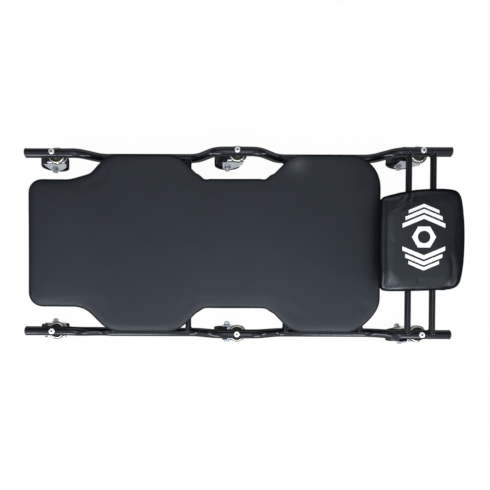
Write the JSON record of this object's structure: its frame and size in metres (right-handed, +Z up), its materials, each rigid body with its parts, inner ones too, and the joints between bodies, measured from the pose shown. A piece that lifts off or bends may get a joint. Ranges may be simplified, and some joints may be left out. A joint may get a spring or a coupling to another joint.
{
  "type": "mechanic creeper",
  "caption": "Low padded creeper with a waisted bed pad and raised headrest on a bent tube frame that rolls on swivel casters.",
  "frame": {"origin": "on the floor below the middle of the creeper's outer box", "axes": "+X to the head end, +Y to the left when looking that way, +Z up"},
  "size_m": [0.9851, 0.4763, 0.1566],
  "materials": {
    "frame_paint": "gloss black paint",
    "plug_plastic": "satin black",
    "board": "dark stained board",
    "bed_vinyl": "fine grained satin black vinyl",
    "head_vinyl": "smooth glossy black vinyl",
    "fork_zinc": "blue-white zinc plate",
    "race_zinc": "pale yellow zinc plate",
    "bright_zinc": "bright zinc plate",
    "wheel_black": "moulded black"
  },
  "bodies": {
    "frame": {"bed_board": "board", "bed_cushion": "bed_vinyl", "bed_screw_1": "bright_zinc", "bed_screw_2": "bright_zinc", "bed_screw_3": "bright_zinc", "bed_screw_4": "bright_zinc", "bed_tube_foot": "frame_paint", "bed_tube_head": "frame_paint", "bed_tube_mid_footward": "frame_paint", "bed_tube_mid_headward": "frame_paint", "caster_bolt_foot_left": "bright_zinc", "caster_bolt_foot_right": "bright_zinc", "caster_bolt_head_left": "bright_zinc", "caster_bolt_head_right": "bright_zinc", "caster_bolt_mid_left": "bright_zinc", "caster_bolt_mid_right": "bright_zinc", "head_board": "board", "head_cushion": "head_vinyl", "head_screw_1": "bright_zinc", "head_screw_2": "bright_zinc", "head_screw_3": "bright_zinc", "head_screw_4": "bright_zinc", "head_tube_crown": "frame_paint", "head_tube_neck": "frame_paint", "rail_left": "frame_paint", "rail_plug_foot_left": "plug_plastic", "rail_plug_foot_right": "plug_plastic", "rail_plug_head_left": "plug_plastic", "rail_plug_head_right": "plug_plastic", "rail_right": "frame_paint", "swivel_cap_foot_left": "race_zinc", "swivel_cap_foot_right": "race_zinc", "swivel_cap_head_left": "race_zinc", "swivel_cap_head_right": "race_zinc", "swivel_cap_mid_left": "race_zinc", "swivel_cap_mid_right": "race_zinc"},
    "caster_foot_left": {"fork_foot_left": "fork_zinc", "axle_bolt_foot_left": "bright_zinc", "axle_nut_foot_left": "bright_zinc"},
    "roller_foot_left": {"wheel_foot_left": "wheel_black"},
    "caster_mid_left": {"fork_mid_left": "fork_zinc", "axle_bolt_mid_left": "bright_zinc", "axle_nut_mid_left": "bright_zinc"},
    "roller_mid_left": {"wheel_mid_left": "wheel_black"},
    "caster_head_left": {"fork_head_left": "fork_zinc", "axle_bolt_head_left": "bright_zinc", "axle_nut_head_left": "bright_zinc"},
    "roller_head_left": {"wheel_head_left": "wheel_black"},
    "caster_foot_right": {"fork_foot_right": "fork_zinc", "axle_bolt_foot_right": "bright_zinc", "axle_nut_foot_right": "bright_zinc"},
    "roller_foot_right": {"wheel_foot_right": "wheel_black"},
    "caster_mid_right": {"fork_mid_right": "fork_zinc", "axle_bolt_mid_right": "bright_zinc", "axle_nut_mid_right": "bright_zinc"},
    "roller_mid_right": {"wheel_mid_right": "wheel_black"},
    "caster_head_right": {"fork_head_right": "fork_zinc", "axle_bolt_head_right": "bright_zinc", "axle_nut_head_right": "bright_zinc"},
    "roller_head_right": {"wheel_head_right": "wheel_black"}
  },
  "joints": [
    {"name": "swivel_foot_left", "type": "hinge", "parent": "frame", "child": "caster_foot_left", "pos_m": [-0.4253, 0.2035, 0.07851], "axis": [0, 0, 1], "continuous": true},
    {"name": "roll_foot_left", "type": "hinge", "parent": "caster_foot_left", "child": "roller_foot_left", "pos_m": [-0.4498, 0.2035, 0.03161], "axis": [0, -1, 0], "continuous": true},
    {"name": "swivel_mid_left", "type": "hinge", "parent": "frame", "child": "caster_mid_left", "pos_m": [-0.0043, 0.209, 0.07851], "axis": [0, 0, 1], "continuous": true},
    {"name": "roll_mid_left", "type": "hinge", "parent": "caster_mid_left", "child": "roller_mid_left", "pos_m": [-0.0288, 0.209, 0.03161], "axis": [0, -1, 0], "continuous": true},
    {"name": "swivel_head_left", "type": "hinge", "parent": "frame", "child": "caster_head_left", "pos_m": [0.4168, 0.209, 0.07851], "axis": [0, 0, 1], "continuous": true},
    {"name": "roll_head_left", "type": "hinge", "parent": "caster_head_left", "child": "roller_head_left", "pos_m": [0.39254, 0.21243, 0.03161], "axis": [-0.14, -0.9901, 0], "continuous": true},
    {"name": "swivel_foot_right", "type": "hinge", "parent": "frame", "child": "caster_foot_right", "pos_m": [-0.4253, -0.2035, 0.07851], "axis": [0, 0, 1], "continuous": true},
    {"name": "roll_foot_right", "type": "hinge", "parent": "caster_foot_right", "child": "roller_foot_right", "pos_m": [-0.4498, -0.2035, 0.03161], "axis": [0, -1, 0], "continuous": true},
    {"name": "swivel_mid_right", "type": "hinge", "parent": "frame", "child": "caster_mid_right", "pos_m": [-0.0043, -0.209, 0.07851], "axis": [0, 0, 1], "continuous": true},
    {"name": "roll_mid_right", "type": "hinge", "parent": "caster_mid_right", "child": "roller_mid_right", "pos_m": [-0.0288, -0.209, 0.03161], "axis": [0, -1, 0], "continuous": true},
    {"name": "swivel_head_right", "type": "hinge", "parent": "frame", "child": "caster_head_right", "pos_m": [0.4168, -0.209, 0.07851], "axis": [0, 0, 1], "continuous": true},
    {"name": "roll_head_right", "type": "hinge", "parent": "caster_head_right", "child": "roller_head_right", "pos_m": [0.3926, -0.21283, 0.03161], "axis": [0.1564, -0.9877, 0], "continuous": true}
  ]
}
